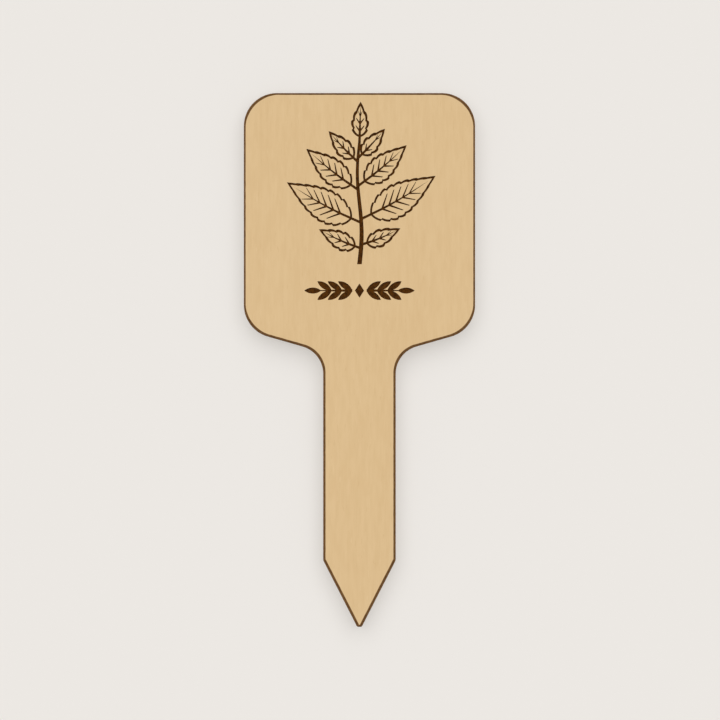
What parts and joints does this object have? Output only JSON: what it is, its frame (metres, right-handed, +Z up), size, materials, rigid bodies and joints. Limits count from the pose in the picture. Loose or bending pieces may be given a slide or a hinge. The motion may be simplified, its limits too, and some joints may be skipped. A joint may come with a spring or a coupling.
{
  "type": "plant label stake",
  "caption": "Flat wooden plant label stake with a rounded square head, sloping shoulders, a straight stem and a pointed tip, with an engraved herb sprig and leaf band.",
  "frame": {"origin": "on the stem's centre line at the soil line, 50 mm above the tip, midway through the thickness", "axes": "+Z up, from the tip to the head; -Y the engraved face's outward normal; +X to the right of someone who faces the engraving"},
  "size_m": [0.065, 0.003, 0.15],
  "materials": {
    "face_veneer": "plain sanded light veneer, grain upright, burnt dark brown along its edges and in the engraving",
    "core_veneer": "light veneer, grain across, seen only as a laser-burnt brown edge",
    "glue": "cured resin glue, seen only as a thin dark burnt line at the edge"
  },
  "bodies": {
    "root": {"front_veneer": "face_veneer", "front_glue_line": "glue", "core_veneer": "core_veneer", "back_glue_line": "glue", "back_veneer": "face_veneer"}
  },
  "joints": []
}
